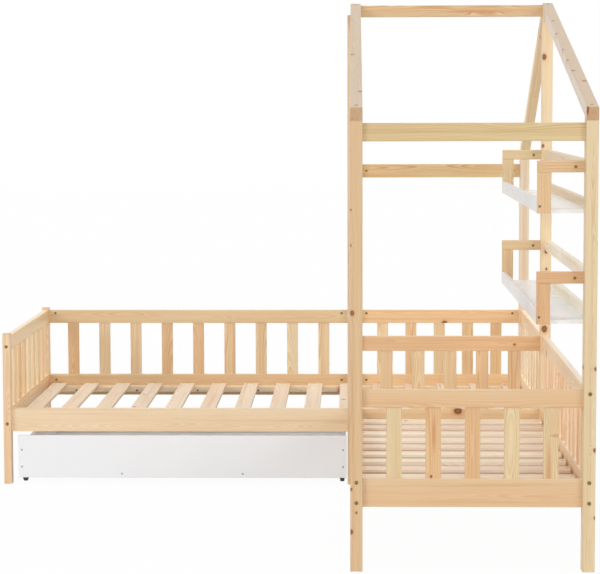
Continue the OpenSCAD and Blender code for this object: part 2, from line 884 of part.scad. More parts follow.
// The first and the last slat of the short bed lie partly past the ledgers' ends
function short_slat_screw_y(middle) =
    let (past_end = short_ledger_inset + 3 * screw_d)
    min(max(middle, post_d + past_end), corner_y - past_end);

module short_slat_screw_places() {
    for (y = short_slat_ys, x = [short_slat_x + 2 * screw_d, short_slat_x + short_slat_l - 2 * screw_d])
        translate([x, short_slat_screw_y(y + short_slat_w / 2), bed_top_z])
            rotate([0, 90, 0]) children();
}

module ledger(rail, inset, top_z) {
    difference() {
        on_ledger(rail, inset, top_z) board_x([ledger_l(rail, inset), ledger_w, ledger_h]);
        ledger_screw_places(rail, inset, top_z) screw_hole(ledger_screw_l);
        children();
    }
}

module long_bed_ledgers() {
    color(pine) in_frame()
        for (rail = long_ledger_rails)
            ledger(rail, long_ledger_inset, long_ledger_z)
                long_slat_screw_places() screw_hole(slat_screw_l);
}

module short_bed_ledgers() {
    color(pine) in_frame()
        for (rail = short_ledger_rails)
            ledger(rail, short_ledger_inset, short_ledger_z)
                short_slat_screw_places() screw_hole(slat_screw_l);
}

module long_bed_slats() {
    color(pine) in_frame() difference() {
        for (x = long_slat_xs)
            translate([x, long_slat_y, bed_top_z - long_slat_t])
                multmatrix([[1, 0, 0, 0], [0, 0, 1, 0], [0, 1, 0, 0]])
                    linear_extrude(long_slat_l) polygon(eased_points(long_slat_w, long_slat_t, edge_r));
        long_slat_screw_places() screw_hole(slat_screw_l);
    }
}

module short_bed_slats() {
    color(pine) in_frame() difference() {
        for (y = short_slat_ys)
            translate([short_slat_x, y, bed_top_z - short_slat_t])
                board_x([short_slat_l, short_slat_w, short_slat_t]);
        short_slat_screw_places() screw_hole(slat_screw_l);
    }
}

// Dowels at one end of the rails behind the shelves, or their holes with some play
module shelf_rail_dowels(end, play = 0) {
    for (z = shelf_levels, lift = [0, bracket_h - shelf_rail_h], side = [-0.5, 0.5])
        translate([
            shelf_back_x + rail_t / 2,
            (end == 0 ? post_d : corner_y) - dowel_l / 2 - play,
            z + lift + shelf_rail_h / 2 + side * dowel_pitch
        ])
            cylinder_y(dowel_d + 2 * play, dowel_l + 2 * play);
}

// Dowels between the brackets' arms and uprights at one shelf
module bracket_dowels(z, play = 0) {
    for (y = bracket_ys)
        translate([
            shelf_front_x + upright_w / 2,
            y + rail_t / 2,
            z + bracket_h - arm_h - dowel_l / 2 - play
        ])
            cylinder(d = dowel_d + 2 * play, h = dowel_l + 2 * play);
}

module shelf_dowels() {
    color(pine) in_frame() {
        for (end = [0, 1]) shelf_rail_dowels(end);
        for (z = shelf_levels) bracket_dowels(z);
    }
}

// Screws through the uprights into the ends of the lip
module lip_screw_places(z) {
    for (end = [0, 1])
        translate([shelf_front_x + lip_t / 2, bracket_ys[end] + end * rail_t, z + lip_h / 2])
            rotate([0, 0, end == 0 ? 90 : -90]) children();
}

// Screws through the lower back rail into the edge of the shelf board
module shelf_screw_places(z) {
    for (i = [0:shelf_screw_count - 1])
        translate([
            long_bed_l,
            post_d + (i + 0.5) * (corner_y - post_d) / shelf_screw_count,
            z + shelf_t / 2
        ])
            rotate([0, 0, 180]) children();
}

module shelf_brackets(z) {
    color(pine) in_frame() difference() {
        for (i = [0, 1]) {
            rail(bracket_arm(z, i), ends = [1]);
            translate([shelf_front_x, bracket_ys[i], z])
                linear_extrude(bracket_h - arm_h) polygon(eased_points(upright_w, rail_t, edge_r));
        }
        bracket_dowels(z, dowel_play);
        lip_screw_places(z) screw_hole(lip_screw_l);
    }
}

// White board between the brackets, notched round the two right-hand posts
module shelf_board(z) {
    front_x = shelf_front_x + lip_t;
    color(white_board) in_frame() difference() {
        translate([0, 0, z])
            linear_extrude(shelf_t)
                difference() {
                    translate([front_x, shelf_y]) square([shelf_back_x - front_x, shelf_l]);
                    for (y = [0, corner_y]) translate([right_x, y]) square([post_w, post_d]);
                }
        shelf_screw_places(z) screw_hole(shelf_screw_l);
    }
}

// White lip along the shelf's front edge, glued to the edge of the board
module shelf_lip(z) {
    color(white_board) in_frame() difference() {
        on_rail([[shelf_front_x, shelf_y, z], shelf_l, lip_h, 1]) board_x([shelf_l, lip_t, lip_h]);
        lip_screw_places(z) screw_hole(lip_screw_l);
    }
}

module shelf_rails(z) {
    color(pine) in_frame() {
        rail(shelf_rail(z)) {
            for (end = [0, 1]) shelf_rail_dowels(end, dowel_play);
            shelf_screw_places(z) screw_hole(shelf_screw_l);
        }
        rail(shelf_rail(z + bracket_h - shelf_rail_h))
            for (end = [0, 1]) shelf_rail_dowels(end, dowel_play);
    }
}

module upper_shelf_brackets() {
    shelf_brackets(shelf_levels[0]);
}

module upper_shelf_board() {
    shelf_board(shelf_levels[0]);
}

module upper_shelf_lip() {
    shelf_lip(shelf_levels[0]);
}

module upper_shelf_rails() {
    shelf_rails(shelf_levels[0]);
}

module lower_shelf_brackets() {
    shelf_brackets(shelf_levels[1]);
}

module lower_shelf_board() {
    shelf_board(shelf_levels[1]);
}

module lower_shelf_lip() {
    shelf_lip(shelf_levels[1]);
}

module lower_shelf_rails() {
    shelf_rails(shelf_levels[1]);
}

module connecting_bolts() {
    color(brass) in_frame() {
        for (rail = all_rails, end = [0, 1]) rail_bolts(rail, end);
        for (z = shelf_levels, i = [0, 1]) rail_bolts(bracket_arm(z, i), 1);
        for (rail = [middle_low, back_right_low, back_right_top]) rail_studs(rail);
    }
}

module barrel_nuts() {
    color(brass) in_frame() {
        for (rail = all_rails, end = [0, 1]) rail_nuts(rail, end);
        for (z = shelf_levels, i = [0, 1]) rail_nuts(bracket_arm(z, i), 1);
    }
}

module wood_screws() {
    color(steel) in_frame() {
        for (rail = long_ledger_rails)
            ledger_screw_places(rail, long_ledger_inset, long_ledger_z) wood_screw(ledger_screw_l);
        for (rail = short_ledger_rails)
            ledger_screw_places(rail, short_ledger_inset, short_ledger_z) wood_screw(ledger_screw_l);
        long_slat_screw_places() wood_screw(slat_screw_l);
        short_slat_screw_places() wood_screw(slat_screw_l);
        for (z = shelf_levels) {
            lip_screw_places(z) wood_screw(lip_screw_l);
            shelf_screw_places(z) wood_screw(shelf_screw_l);
        }
    }
}

// Screws through the drawer's front into its sides and into the bearers
module drawer_front_screw_places() {
    for (x = side_xs, share = [0.17, 0.82])
        translate([x + board_t / 2, corner_y, drawer_side_z + share * drawer_side_h])
            rotate([0, 0, 90]) children();
    for (x = bearer_xs)
        translate([x + bearer_w / 2, corner_y, panel_z - bearer_h / 2])
            rotate([0, 0, 90]) children();
}

// Screws through the drawer's sides into its back
module drawer_back_screw_places() {
    for (end = [0, 1], share = [0.25, 0.75])
        translate([
            end == 0 ? side_xs[0] : side_xs[1] + board_t,
            drawer_back_y - board_t / 2,
            back_board_z + share * back_board_h
        ])
            rotate([0, 0, end * 180]) children();
}

// Screws up through the wheel brackets into the drawer's sides
module bracket_screw_places() {
    for (x = side_xs, y = wheel_ys, side = [-1, 1])
        translate([x + board_t / 2, y + side * bracket_screw_y, drawer_side_z - cheek_t])
            rotate([0, -90, 0]) children();
}

// Groove for the bottom panel in the front and the sides
module panel_groove() {
    translate([drawer_in_x - groove_d, corner_y + board_t - groove_d, panel_z - groove_play])
        cube([drawer_in_w + 2 * groove_d, drawer_d + groove_d + eps, drawer_bottom_t + 2 * groove_play]);
}

module drawer_front() {
    color(white_board) in_frame() difference() {
        translate([drawer_x, corner_y, drawer_front_z]) board_x([drawer_w, board_t, drawer_front_h]);
        panel_groove();
        drawer_front_screw_places() screw_hole(drawer_screw_l);
    }
}

module drawer_sides() {
    color(white_board) in_frame() difference() {
        for (x = side_xs)
            on_rail([[x, corner_y + board_t, drawer_side_z], drawer_d, drawer_side_h, 1])
                board_x([drawer_d, board_t, drawer_side_h]);
        panel_groove();
        drawer_front_screw_places() screw_hole(drawer_screw_l);
        drawer_back_screw_places() screw_hole(drawer_screw_l);
        bracket_screw_places() screw_hole(bracket_screw_l);
    }
}

module drawer_back() {
    color(white_board) in_frame() difference() {
        translate([drawer_in_x, drawer_back_y - board_t, back_board_z])
            board_x([drawer_in_w, board_t, back_board_h]);
        drawer_back_screw_places() screw_hole(drawer_screw_l);
    }
}

module drawer_bottom() {
    panel_in = groove_d - groove_play;
    color(white_board) in_frame()
        translate([drawer_in_x - panel_in, corner_y + board_t - panel_in, panel_z])
            cube([drawer_in_w + 2 * panel_in, drawer_d + panel_in, drawer_bottom_t]);
}

module drawer_bearers() {
    color(pine) in_frame() difference() {
        for (x = bearer_xs)
            on_rail([[x, corner_y + board_t, panel_z - bearer_h], drawer_d, bearer_h, 1])
                board_x([drawer_d, bearer_w, bearer_h]);
        drawer_front_screw_places() screw_hole(drawer_screw_l);
    }
}

module drawer_screws() {
    color(steel) in_frame() {
        drawer_front_screw_places() wood_screw(drawer_screw_l);
        drawer_back_screw_places() wood_screw(drawer_screw_l);
        bracket_screw_places() wood_screw(bracket_screw_l);
    }
}

module at_wheels() {
    for (x = wheel_xs, y = wheel_ys) translate([x, y, wheel_d / 2]) children();
}

// Steel fork over each wheel: a top plate under the drawer's side and two cheeks
module wheel_brackets() {
    plate_z = drawer_side_z - cheek_t - wheel_d / 2;
    color(steel) in_frame() difference() {
        at_wheels() {
            translate([-wheel_bracket_w / 2, -bracket_l / 2, plate_z])
                cube([wheel_bracket_w, bracket_l, cheek_t]);
            for (side = [-1, 1])
                side_profile(side * (wheel_bracket_w - cheek_t) / 2 - cheek_t / 2, cheek_t) {
                    circle(d = cheek_w);
                    translate([-cheek_w / 2, 0]) square([cheek_w, plate_z + cheek_t / 2]);
                }
        }
        at_wheels()
            translate([-wheel_bracket_w, 0, 0]) cylinder_x(axle_d + 2 * axle_play, 2 * wheel_bracket_w);
        bracket_screw_places() screw_hole(bracket_screw_l);
    }
}

// Riveted axle through both cheeks of each fork
module wheel_axles() {
    color(steel) in_frame()
        at_wheels() {
            translate([-wheel_bracket_w / 2 - rivet_t, 0, 0]) cylinder_x(rivet_d, rivet_t);
            translate([-wheel_bracket_w / 2, 0, 0]) cylinder_x(axle_d, wheel_bracket_w);
            translate([wheel_bracket_w / 2, 0, 0]) cylinder_x(rivet_d, rivet_t);
        }
}

// One half of the wheel's outline: hub, sunk web and rounded tread
function half_wheel(r, half_w, round_r) = concat(
    [[axle_d / 2 + axle_play, half_w], [0.4 * r, half_w]],
    [[0.45 * r, half_w - web_drop], [0.7 * r, half_w - web_drop], [0.75 * r, half_w]],
    [for (turn = [0:15:90]) [r - round_r + round_r * sin(turn), half_w - round_r + round_r * cos(turn)]]
);

module wheel(x, y) {
    side = half_wheel(wheel_d / 2, wheel_w / 2, wheel_w / 4);
    color("gray") in_frame()
        translate([x, y, wheel_d / 2])
            rotate([0, 90, 0])
                rotate_extrude()
                    polygon(concat(side, [for (i = [len(side) - 1:-1:0]) [side[i][0], -side[i][1]]]));
}

module wheel_front_left() {
    wheel(wheel_xs[0], wheel_ys[0]);
}

module wheel_front_right() {
    wheel(wheel_xs[1], wheel_ys[0]);
}

module wheel_back_left() {
    wheel(wheel_xs[0], wheel_ys[1]);
}

module wheel_back_right() {
    wheel(wheel_xs[1], wheel_ys[1]);
}

post_front_left();
post_front_right();
post_corner_left();
post_corner_right();
post_back_left();
post_back_right();
leg_front();
leg_back();
rafter_front_left();
rafter_front_right();
rafter_back_left();
rafter_back_right();
ridge_beam();
eave_rail_front();
eave_rail_back();
foot_fence_rails();
foot_fence_slats();
middle_fence_rails();
middle_fence_slats();
back_left_fence_rails();
back_left_fence_slats();
back_right_fence_rails();
back_right_fence_slats();
left_fence_rails();
left_fence_slats();
right_fence_rails();
right_fence_slats();
right_back_fence_rails();
right_back_fence_slats();
long_bed_rail();
short_bed_rail();
long_bed_ledgers();
short_bed_ledgers();
long_bed_slats();
short_bed_slats();
upper_shelf_brackets();
upper_shelf_board();
upper_shelf_lip();
upper_shelf_rails();
lower_shelf_brackets();
lower_shelf_board();
lower_shelf_lip();
lower_shelf_rails();
connecting_bolts();
barrel_nuts();
roof_screws();
wood_screws();
shelf_dowels();
drawer_front();
drawer_sides();
drawer_back();
drawer_bottom();
drawer_bearers();
drawer_screws();
wheel_brackets();
wheel_axles();
wheel_front_left();
wheel_front_right();
wheel_back_left();
wheel_back_right();
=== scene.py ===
"""Looks of an L-shaped house bed in pine with a white drawer on wheels, over its CAD frame."""
import math

import bpy
from mathutils import Matrix, Vector


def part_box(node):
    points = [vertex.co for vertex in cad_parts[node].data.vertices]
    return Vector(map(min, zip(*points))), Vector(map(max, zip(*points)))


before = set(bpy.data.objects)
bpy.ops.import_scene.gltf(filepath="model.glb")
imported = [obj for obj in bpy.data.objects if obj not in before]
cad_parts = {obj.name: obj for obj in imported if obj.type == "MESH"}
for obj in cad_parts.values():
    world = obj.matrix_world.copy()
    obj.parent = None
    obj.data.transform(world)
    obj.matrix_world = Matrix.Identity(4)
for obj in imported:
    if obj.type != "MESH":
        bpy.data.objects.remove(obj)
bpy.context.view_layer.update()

# Camera. The photograph looks at the bed from in front of the short bed's left post,
# a little above the roof's eaves, through a long lens. The place and the turns were
# fitted to the posts, the rails and the roof.
CAMERA_PLACE = Vector((0.2939, -7.5702, 1.4420))
CAMERA_YAW = 0.02574
CAMERA_PITCH = -0.08795
CAMERA_ROLL = -0.00262
CAMERA_LENS_MM = 124.05
SENSOR_MM = 36

camera_data = bpy.data.cameras.new("camera")
camera_data.lens = CAMERA_LENS_MM
camera_data.sensor_width = SENSOR_MM
camera = bpy.data.objects.new("camera", camera_data)
bpy.context.scene.collection.objects.link(camera)
camera.matrix_world = (
    Matrix.Translation(CAMERA_PLACE)
    @ Matrix.Rotation(CAMERA_YAW, 4, "Z")
    @ Matrix.Rotation(math.pi / 2 + CAMERA_PITCH, 4, "X")
    @ Matrix.Rotation(CAMERA_ROLL, 4, "Z")
)
bpy.context.scene.camera = camera


# Posts and legs. Four tall posts at the corners of the short bed, two more at the back
# and two low legs at the left end, all planed pine with eased edges, clear satin lacquer
# and a few knots. Rings, fibres and knots are worked out from where a board lay in its log.
def srgb(red, green, blue):
    """A colour given on a 0 to 255 scale, as the shader wants it."""
    linear = []
    for value in (red, green, blue):
        share = value / 255
        linear.append(share / 12.92 if share <= 0.04045 else ((share + 0.055) / 1.055) ** 2.4)
    return (*linear, 1)


class Nodes:
    """Adds nodes to a tree and links them, with a short name for each kind of sum."""

    def __init__(self, tree):
        self.tree = tree

    def add(self, kind, inputs=(), **settings):
        """A new node, with its settings and with values or links put into its inputs."""
        node = self.tree.nodes.new(kind)
        for key, value in settings.items():
            setattr(node, key, value)
        for socket, value in dict(inputs).items():
            self.put(node.inputs[socket], value)
        return node

    def put(self, socket, value):
        """Links another node's output to a socket, or sets the socket to a plain value."""
        if isinstance(value, bpy.types.NodeSocket):
            self.tree.links.new(value, socket)
        else:
            socket.default_value = value

    def math(self, operation, a, b=0.0, c=0.0):
        return self.add("ShaderNodeMath", {0: a, 1: b, 2: c}, operation=operation).outputs[0]

    def between(self, share, low, high):
        """What lies a share of the way from low to high."""
        return self.math("MULTIPLY_ADD", share, high - low, low)

    def vector(self, operation, a, b=(0, 0, 0)):
        node = self.add("ShaderNodeVectorMath", {0: a, 1: b}, operation=operation)
        return node.outputs["Value" if operation == "LENGTH" else "Vector"]

    def scale(self, a, factor):
        node = self.add("ShaderNodeVectorMath", {0: a, "Scale": factor}, operation="SCALE")
        return node.outputs[0]

    def split(self, a):
        return self.add("ShaderNodeSeparateXYZ", {0: a}).outputs

    def join(self, x, y, z):
        return self.add("ShaderNodeCombineXYZ", {0: x, 1: y, 2: z}).outputs[0]

    def step(self, value, low, high, to_low=0.0, to_high=1.0):
        """A smooth step from to_low to to_high while the value goes from low to high."""
        node = self.add(
            "ShaderNodeMapRange",
            {0: value, 1: low, 2: high, 3: to_low, 4: to_high},
            interpolation_type="SMOOTHSTEP",
        )
        return node.outputs[0]

    def noise(self, vector, scale=1.0, detail=2.0, output="Fac"):
        inputs = {"Vector": vector, "Scale": scale, "Detail": detail}
        return self.add("ShaderNodeTexNoise", inputs).outputs[output]

    def mix(self, factor, a, b, blend="MIX"):
        inputs = {0: factor, 6: a, 7: b}
        return self.add("ShaderNodeMix", inputs, data_type="RGBA", blend_type=blend).outputs[2]


def node_group(name, inputs, outputs):
    """An empty node group with named sockets, and its input and output nodes."""
    group = bpy.data.node_groups.new(name, "ShaderNodeTree")
    for socket, kind, value in inputs:
        made = group.interface.new_socket(socket, in_out="INPUT", socket_type="NodeSocket" + kind)
        if value is not None:
            made.default_value = value
    for socket, kind in outputs:
        group.interface.new_socket(socket, in_out="OUTPUT", socket_type="NodeSocket" + kind)
    nodes = Nodes(group)
    return nodes, nodes.add("NodeGroupInput").outputs, nodes.add("NodeGroupOutput")


def make_board_cell():
    """Finds the board of a row that a point lies in: the point seen from the board's
    middle, and three random numbers for that board."""
    nodes, given, out = node_group(
        "board_cell",
        [
            ("Vector", "Vector", None), ("Corner", "Vector", None),
            ("Pitch", "Vector", (1, 1, 1)), ("Seed", "Float", 0.0),
        ],
        [("Local", "Vector"), ("Random", "Vector")],
    )
    from_corner = nodes.vector("SUBTRACT", given["Vector"], given["Corner"])
    counted = nodes.vector("DIVIDE", from_corner, given["Pitch"])
    cell = nodes.vector("FLOOR", counted)
    middle = nodes.vector("ADD", cell, (0.5, 0.5, 0.5))
    local = nodes.vector("MULTIPLY", nodes.vector("SUBTRACT", counted, middle), given["Pitch"])
    random = nodes.add(
        "ShaderNodeTexWhiteNoise", {"Vector": cell, "W": given["Seed"]}, noise_dimensions="4D"
    )
    nodes.put(out.inputs["Local"], local)
    nodes.put(out.inputs["Random"], random.outputs["Color"])
    return nodes.tree


def random_knot(nodes, given):
    """How far a point lies from the heart of the nearest random knot, counted in the
    knot's radii. Each stretch of a board has one chance of a knot. Sizes are in metres."""
    stretch = 0.4
    stretches_to_draw = 7.0
    share_of_stretch = (0.2, 0.8)
    off_middle = (-0.018, 0.018)
    heart_depth = (-0.02, 0.02)
    radii = (0.0025, 0.0075)
    shrink_along, shrink_deep = 0.8, 0.3
    no_knot = 9.0

    x, y, z = nodes.split(given["Vector"])
    first, second, third = nodes.split(given["Random"])
    start = nodes.math("MULTIPLY", first, stretches_to_draw)
    along = nodes.math("MULTIPLY_ADD", z, 1 / stretch, start)
    draw = nodes.join(nodes.math("FLOOR", along), second, third)
    chance = nodes.add("ShaderNodeTexWhiteNoise", {"Vector": draw})
    place_x, place_z, size = nodes.split(chance.outputs["Color"])
    knot_x = nodes.math("SUBTRACT", x, nodes.between(place_x, *off_middle))
    in_stretch = nodes.math("FRACT", along)
    knot_z = nodes.math("SUBTRACT", in_stretch, nodes.between(place_z, *share_of_stretch))
    knot_z = nodes.math("MULTIPLY", knot_z, stretch * shrink_along)
    knot_y = nodes.math("ADD", y, nodes.between(size, *heart_depth))
    knot_y = nodes.math("MULTIPLY", knot_y, shrink_deep)
    away = nodes.vector("LENGTH", nodes.join(knot_x, knot_z, knot_y))
    away = nodes.math("DIVIDE", away, nodes.between(size, *radii))
    missing = nodes.math("GREATER_THAN", chance.outputs["Value"], given["Knots"])
    return nodes.math("ADD", away, nodes.math("MULTIPLY", missing, no_knot))


def growth_rings(nodes, given, placed, pushed):
    """Rings round a pith that wanders outside the board and tapers along it, so that they
    end in arches on its face. Gives the distance from the pith in metres, and how dark the
    late wood of the point's own ring is."""
    wander_size, wander = (4.0, 4.0, 2.2), 0.05
    pith_aside, pith_behind = (-0.035, 0.035), (0.014, 0.049)
    taper_slope = (-0.01, 0.01)
    pushed_by_knot, pushed_by_swirl = 0.007, 0.005
    ring_widths = (0.0026, 0.0046)
    year_darkness = (0.4, 1.0)

    x, y, z = nodes.split(given["Vector"])
    first, second, third = nodes.split(given["Random"])
    wave = nodes.vector("MULTIPLY", placed, wander_size)
    wave = nodes.noise(wave, detail=1.0, output="Color")
    wave = nodes.scale(nodes.vector("SUBTRACT", wave, (0.5, 0.5, 0.5)), wander)
    pith_x, pith_y = nodes.between(second, *pith_aside), nodes.between(third, *pith_behind)
    pith = nodes.vector("ADD", nodes.join(pith_x, pith_y, 0.0), wave)
    across = nodes.vector("ADD", nodes.join(x, y, 0.0), pith)
    bow = nodes.vector("LENGTH", nodes.vector("MULTIPLY", across, (1.0, 1.0, 0.0)))
    taper = nodes.math("MULTIPLY", z, nodes.between(third, *taper_slope))
    bow = nodes.math("ADD", bow, taper)

    rings = nodes.math("ADD", bow, nodes.math("MULTIPLY", pushed, pushed_by_knot))
    rings = nodes.math("MULTIPLY_ADD", given["Swirl"], pushed_by_swirl, rings)
    rings = nodes.math("DIVIDE", rings, nodes.between(first, *ring_widths))
    draw = {"W": nodes.math("FLOOR", rings)}
    year = nodes.add("ShaderNodeTexWhiteNoise", draw, noise_dimensions="1D").outputs["Value"]
    part = nodes.math("FRACT", rings)
    slow_rise, quick_fall = nodes.step(part, 0.15, 0.85), nodes.step(part, 1.0, 0.9)
    late = nodes.math("MULTIPLY", slow_rise, quick_fall)
    return bow, nodes.math("MULTIPLY", late, nodes.between(year, *year_darkness))


def make_pine_grain():
    """Planed pine seen from the board's middle, with its width along X, its thickness
    along Y and the grain along Z: growth rings, fibres, resin streaks, warm heartwood
    and a knot now and then."""
    white = (1, 1, 1, 1)
    nodes, given, out = node_group(
        "pine_grain",
        [
            ("Vector", "Vector", None), ("Random", "Vector", None), ("End", "Float", 0.0),
            ("Pale", "Color", white), ("Warm", "Color", white), ("Knot", "Color", white),
            ("Warmth", "Float", 0.4), ("Spread", "Float", 0.3), ("Rings", "Float", 1.0),
            ("Knots", "Float", 0.3), ("Knot Distance", "Float", 9.0), ("Sawn", "Float", 0.0),
            ("Edge", "Float", 0.0), ("Streak", "Float", 0.0), ("Painted Edge Shading", "Color", white),
            ("Swirl", "Float", 0.0),
        ],
        [("Color", "Color"), ("Roughness", "Float"), ("Height", "Float")],
    )
    first, second, third = nodes.split(given["Random"])

    # A knot has a body with a dark rim and a stained halo, and pushes the rings aside. Its
    # outline is ragged, and its steps are counted in its own radii.
    ragged_size, ragged_by = 300.0, (-0.25, 0.25)
    far = nodes.math("MINIMUM", random_knot(nodes, given), given["Knot Distance"])
    ragged = nodes.noise(nodes.scale(given["Vector"], ragged_size))
    far = nodes.math("ADD", far, nodes.between(ragged, *ragged_by))
    knot = nodes.step(far, 1.1, 0.85)
    rim = nodes.math("MULTIPLY", nodes.step(far, 1.5, 1.0), nodes.step(far, 0.55, 0.95))
    halo = nodes.step(far, 2.6, 1.0)
    pushed = nodes.math("MAXIMUM", nodes.step(far, 6.0, 1.0), given["Swirl"])

    # Every board comes from its own place in the wood, so no two have the same figure.
    wood_size = (9.0, 7.0, 31.0)
    shift = nodes.vector("MULTIPLY", nodes.join(second, third, first), wood_size)
    placed = nodes.vector("ADD", given["Vector"], shift)
    bow, late = growth_rings(nodes, given, placed, pushed)

    # Marks across and along the board, each counted per metre on its three axes.
    fibre_size, band_size = (520.0, 520.0, 9.0), (75.0, 75.0, 0.9)
    resin_size, stain_size = (300.0, 300.0, 12.0), (14.0, 14.0, 2.5)
    saw_size = (9.0, 9.0, 230.0)
    fibre = nodes.noise(nodes.vector("MULTIPLY", placed, fibre_size))
    band = nodes.noise(nodes.vector("MULTIPLY", placed, band_size))
    resin = nodes.noise(nodes.vector("MULTIPLY", placed, resin_size), detail=1.0)
    stain = nodes.noise(nodes.vector("MULTIPLY", placed, stain_size))
    saw = nodes.noise(nodes.vector("MULTIPLY", placed, saw_size))
    saw = nodes.math("MULTIPLY", nodes.step(saw, 0.5, 0.75), given["Sawn"])

    # The clear wood goes from pale sapwood to warm heartwood, which lies near the pith.
    warm_by_pith, warm_by_stain, warm_round_knot = (-0.1, 0.2), (-0.25, 0.25), 0.25
    doubled = nodes.math("MULTIPLY", given["Spread"], 2.0)
    warm = nodes.math("MULTIPLY_ADD", nodes.math("SUBTRACT", first, 0.5), doubled, given["Warmth"])
    warm = nodes.math("ADD", warm, nodes.between(nodes.step(bow, 0.055, 0.02), *warm_by_pith))
    warm = nodes.math("ADD", warm, nodes.between(stain, *warm_by_stain))
    warm = nodes.math("ADD", warm, nodes.math("MULTIPLY", pushed, warm_round_knot))
    clear = nodes.mix(nodes.step(warm, -0.2, 1.2), given["Pale"], given["Warm"])

    # Late wood, bands and resin darken it, and fibres and saw marks vary its tone.
    late_wood = (0.80, 0.64, 0.50, 1)
    late_share, band_share, resin_share = 0.8, 0.5, 0.35
    dark = nodes.mix(1.0, clear, late_wood, "MULTIPLY")
    band = nodes.step(band, 0.48, 0.8, 0.0, band_share)
    resin = nodes.math("MULTIPLY", nodes.step(resin, 0.68, 0.78), resin_share)
    streaks = nodes.math("MULTIPLY", nodes.math("MULTIPLY", late, given["Rings"]), late_share)
    streaks = nodes.math("ADD", streaks, band)
    streaks = nodes.math("MINIMUM", nodes.math("ADD", streaks, resin), 1.0)
    colour = nodes.mix(streaks, clear, dark)
    tone_by_fibre, tone_by_board, tone_by_saw = (0.94, 1.06), (0.97, 1.03), (1.0, 0.8)
    tone = nodes.between(fibre, *tone_by_fibre)
    tone = nodes.math("MULTIPLY", tone, nodes.between(second, *tone_by_board))
    tone = nodes.math("MULTIPLY", tone, nodes.between(saw, *tone_by_saw))
    colour = nodes.scale(colour, tone)

    # End grain drinks the lacquer, the narrow edges take painted light and shade from a colour
    # multiplier, and the resin streaks and the knots lie over all of it.
    end_shade = (0.9, 0.74, 0.58)
    heart_shade, body_shade, rim_shade = 0.7, 0.4, 0.3
    streak_share, halo_share, body_share, rim_share = 0.5, 0.45, 0.9, 0.8
    colour = nodes.mix(given["End"], colour, nodes.vector("MULTIPLY", colour, end_shade))
    edge = nodes.mix(1.0, colour, given["Painted Edge Shading"], "MULTIPLY")
    colour = nodes.mix(given["Edge"], colour, edge)
    colour = nodes.mix(nodes.math("MULTIPLY", given["Streak"], streak_share), colour, given["Knot"])
    colour = nodes.mix(nodes.math("MULTIPLY", halo, halo_share), colour, given["Knot"])
    heart, body = nodes.scale(given["Knot"], heart_shade), nodes.scale(given["Knot"], body_shade)
    body = nodes.mix(nodes.step(far, 0.1, 0.9), heart, body)
    colour = nodes.mix(nodes.math("MULTIPLY", knot, body_share), colour, body)
    dark_rim = nodes.scale(given["Knot"], rim_shade)
    colour = nodes.mix(nodes.math("MULTIPLY", rim, rim_share), colour, dark_rim)
    nodes.put(out.inputs["Color"], colour)

    # Planed wood is satin, sawn wood matt, and the plane polishes the knots. Fibres and
    # late wood stand up, and the saw's marks and the knots' rims lie deep.
    satin, sawn_matt, knot_gloss = (0.38, 0.50), 0.25, 0.08
    fibre_height, late_height, saw_depth, rim_depth = 0.6, 0.4, 0.8, 0.5
    rough = nodes.between(fibre, *satin)
    rough = nodes.math("ADD", rough, nodes.math("MULTIPLY", given["Sawn"], sawn_matt))
    nodes.put(out.inputs["Roughness"], nodes.math("MULTIPLY_ADD", knot, -knot_gloss, rough))
    height = nodes.math("MULTIPLY", late, late_height)
    height = nodes.math("MULTIPLY_ADD", fibre, fibre_height, height)
    height = nodes.math("SUBTRACT", height, nodes.math("MULTIPLY", saw, saw_depth))
    nodes.put(out.inputs["Height"], nodes.math("MULTIPLY_ADD", rim, -rim_depth, height))
    return nodes.tree


board_cell = make_board_cell()
pine_grain = make_pine_grain()
PALE = (232, 209, 170)
WARM = (228, 187, 142)
KNOT = srgb(188, 112, 62)
AXES = "xyz"


def board_cells(node, row):
    """The corner where a node's first board begins, and the pitch from board to board.
    On the axes that boards don't repeat on, one cell holds the whole node."""
    margin = 0.005
    low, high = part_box(node)
    pitch = [size + 2 * margin for size in high - low]
    corner = [value - margin for value in low]
    if row:
        axis, count, first_w, last_w = row
        i = AXES.index(axis)
        first, last = low[i] + first_w / 2, high[i] - last_w / 2
        pitch[i] = (last - first) / (count - 1)
        corner[i] = first - pitch[i] / 2
    return corner, pitch


def by_axis(order, width, thickness, length):
    """Values for a board's width, thickness and length, put in the order X, Y, Z."""
    values = dict(zip(order, (width, thickness, length)))
    return [values[axis] for axis in range(len(AXES))]


def nearness(nodes, place, spots, order):
    """How near a point is to the closest of some spots on a board's face, from 0 to 1 in a
    spot's middle. Each spot has its place, its half width and its half length."""
    rim, core = 1.15, 0.2
    near = 0.0
    for centre, half_w, half_l in spots:
        scale = by_axis(order, 1.0 / half_w, 0.0, 1.0 / half_l)
        offset = nodes.vector("MULTIPLY", nodes.vector("SUBTRACT", place, centre), scale)
        near = nodes.math("MAXIMUM", nodes.step(nodes.vector("LENGTH", offset), rim, core), near)
    return near


def knot_distance(nodes, place, knots, order):
    """How far a point lies from the closest of some knots, in knot radii. Each knot has its
    place and its radius. It is longer along the grain, and goes straight into the board."""
    depth = 0.018
    shrink_along = 0.8
    distance = 9.0
    for centre, radius in knots:
        scale = by_axis(order, 1.0 / radius, 1.0 / depth, shrink_along / radius)
        offset = nodes.vector("MULTIPLY", nodes.vector("SUBTRACT", place, centre), scale)
        distance = nodes.math("MINIMUM", nodes.vector("LENGTH", offset), distance)
    return distance


